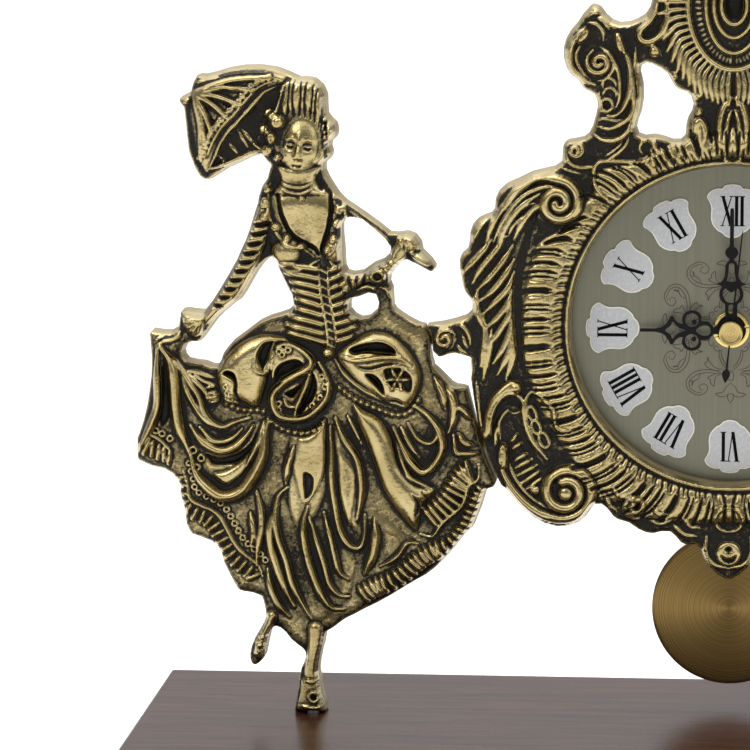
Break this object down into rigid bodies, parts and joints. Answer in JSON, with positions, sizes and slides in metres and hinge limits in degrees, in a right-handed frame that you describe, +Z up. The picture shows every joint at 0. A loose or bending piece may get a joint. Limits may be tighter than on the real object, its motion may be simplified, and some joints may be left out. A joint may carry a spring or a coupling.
{
  "type": "mantel clock",
  "caption": "Cast-brass rococo mantel clock: a pierced frame with a dial, held between parasol figures on a wood base, quartz movement and pendulum.",
  "frame": {"origin": "middle of the footprint, on the shelf", "axes": "+Z up, the dial faces -Y, +X to the right as seen from the front"},
  "size_m": [0.3764, 0.13, 0.2715],
  "materials": {
    "cast_brass": "cast and fettled, bright high spots with black patina in the hollows",
    "spun_brass": "turned and brushed",
    "satin_dial": "satin champagne-silver",
    "white_enamel": "gloss white with black numerals",
    "black_hands": "satin black",
    "rosewood": "polished dark red-brown, grain along X",
    "felt": "felt",
    "steel": "plain",
    "black_plastic": "moulded",
    "white_plastic": "moulded",
    "magnet": "plastic-bonded ferrite",
    "rubber": "moulded",
    "copper": "enamelled copper winding",
    "circuit_board": "green laminate",
    "cell_jacket": "plain printed jacket"
  },
  "bodies": {
    "stand": {"base_board": "rosewood", "base_felt_pad_1": "felt", "base_felt_pad_2": "felt", "base_felt_pad_3": "felt", "base_felt_pad_4": "felt", "left_figure": "cast_brass", "right_figure": "cast_brass", "left_foot_screw": "steel", "right_foot_screw": "steel", "left_upper_lap_screw": "steel", "left_lower_lap_screw": "steel", "right_upper_lap_screw": "steel", "right_lower_lap_screw": "steel", "frame_casting": "cast_brass", "dial_plate": "satin_dial", "dial_screw_1": "steel", "dial_screw_2": "steel", "dial_screw_3": "steel", "numeral_plate_01": "white_enamel", "numeral_plate_02": "white_enamel", "numeral_plate_03": "white_enamel", "numeral_plate_04": "white_enamel", "numeral_plate_05": "white_enamel", "numeral_plate_06": "white_enamel", "numeral_plate_07": "white_enamel", "numeral_plate_08": "white_enamel", "numeral_plate_09": "white_enamel", "numeral_plate_10": "white_enamel", "numeral_plate_11": "white_enamel", "numeral_plate_12": "white_enamel", "dial_nut": "spun_brass", "case_front": "black_plastic", "case_back": "black_plastic", "mounting_washer": "rubber", "battery_contact_positive": "steel", "battery_contact_negative": "steel", "stator": "steel", "drive_coil": "copper", "circuit_board": "circuit_board", "pendulum_coil": "copper", "pendulum_pivot": "steel"},
    "minute_works": {"minute_hand": "black_hands", "minute_hand_nut": "spun_brass", "cannon_pinion": "white_plastic"},
    "hour_works": {"hour_hand": "black_hands", "hour_wheel": "white_plastic"},
    "motion": {"motion_wheel": "white_plastic"},
    "setting": {"setting_knob": "white_plastic"},
    "seconds_works": {"second_hand": "black_hands", "second_hand_cap": "spun_brass", "seconds_wheel": "white_plastic"},
    "minute_train": {"minute_wheel": "white_plastic"},
    "third": {"third_wheel": "white_plastic"},
    "intermediate": {"intermediate_wheel": "white_plastic"},
    "rotor": {"stepper_rotor": "magnet"},
    "pendulum": {"pendulum_hanger": "white_plastic", "pendulum_rod": "spun_brass", "pendulum_bob": "spun_brass"},
    "battery": {"battery_cell": "cell_jacket"}
  },
  "joints": [
    {"name": "minute_hand_turn", "type": "hinge", "parent": "stand", "child": "minute_works", "pos_m": [0, 0.0012, 0.1395], "axis": [0, 1, 0], "continuous": true},
    {"name": "hour_hand_turn", "type": "hinge", "parent": "stand", "child": "hour_works", "pos_m": [0, 0.0036, 0.1395], "axis": [0, 1, 0], "continuous": true},
    {"name": "motion_wheel_turn", "type": "hinge", "parent": "stand", "child": "motion", "pos_m": [-0.0096, 0.0146, 0.1395], "axis": [0, 1, 0], "continuous": true},
    {"name": "setting_knob_turn", "type": "hinge", "parent": "stand", "child": "setting", "pos_m": [-0.0192, 0.028, 0.1395], "axis": [0, 1, 0], "continuous": true},
    {"name": "second_hand_turn", "type": "hinge", "parent": "stand", "child": "seconds_works", "pos_m": [0, -0.0014, 0.1395], "axis": [0, 1, 0], "continuous": true},
    {"name": "minute_train_turn", "type": "hinge", "parent": "stand", "child": "minute_train", "pos_m": [0, 0.0166, 0.1395], "axis": [0, 1, 0], "continuous": true},
    {"name": "third_wheel_turn", "type": "hinge", "parent": "stand", "child": "third", "pos_m": [0.0063, 0.0186, 0.12859], "axis": [0, 1, 0], "continuous": true},
    {"name": "intermediate_wheel_turn", "type": "hinge", "parent": "stand", "child": "intermediate", "pos_m": [-0.0081, 0.0226, 0.12985], "axis": [0, 1, 0], "continuous": true},
    {"name": "rotor_turn", "type": "hinge", "parent": "stand", "child": "rotor", "pos_m": [-0.01405, 0.0186, 0.11954], "axis": [0, 1, 0], "continuous": true},
    {"name": "pendulum_swing", "type": "hinge", "parent": "stand", "child": "pendulum", "pos_m": [0, 0.0282, 0.1515], "axis": [0, 1, 0], "range_deg": [-6, 6]},
    {"name": "battery_slide", "type": "slide", "parent": "stand", "child": "battery", "axis": [0, 1, 0], "range_m": [0, 0.02]}
  ],
  "couplings": [
    {"joint": "hour_hand_turn", "follows": "minute_hand_turn", "ratio": 0.083333},
    {"joint": "motion_wheel_turn", "follows": "minute_hand_turn", "ratio": -0.33333},
    {"joint": "setting_knob_turn", "follows": "minute_hand_turn", "ratio": 1},
    {"joint": "minute_train_turn", "follows": "second_hand_turn", "ratio": 0.016667},
    {"joint": "third_wheel_turn", "follows": "second_hand_turn", "ratio": -0.125},
    {"joint": "intermediate_wheel_turn", "follows": "second_hand_turn", "ratio": -4},
    {"joint": "rotor_turn", "follows": "second_hand_turn", "ratio": 30}
  ]
}
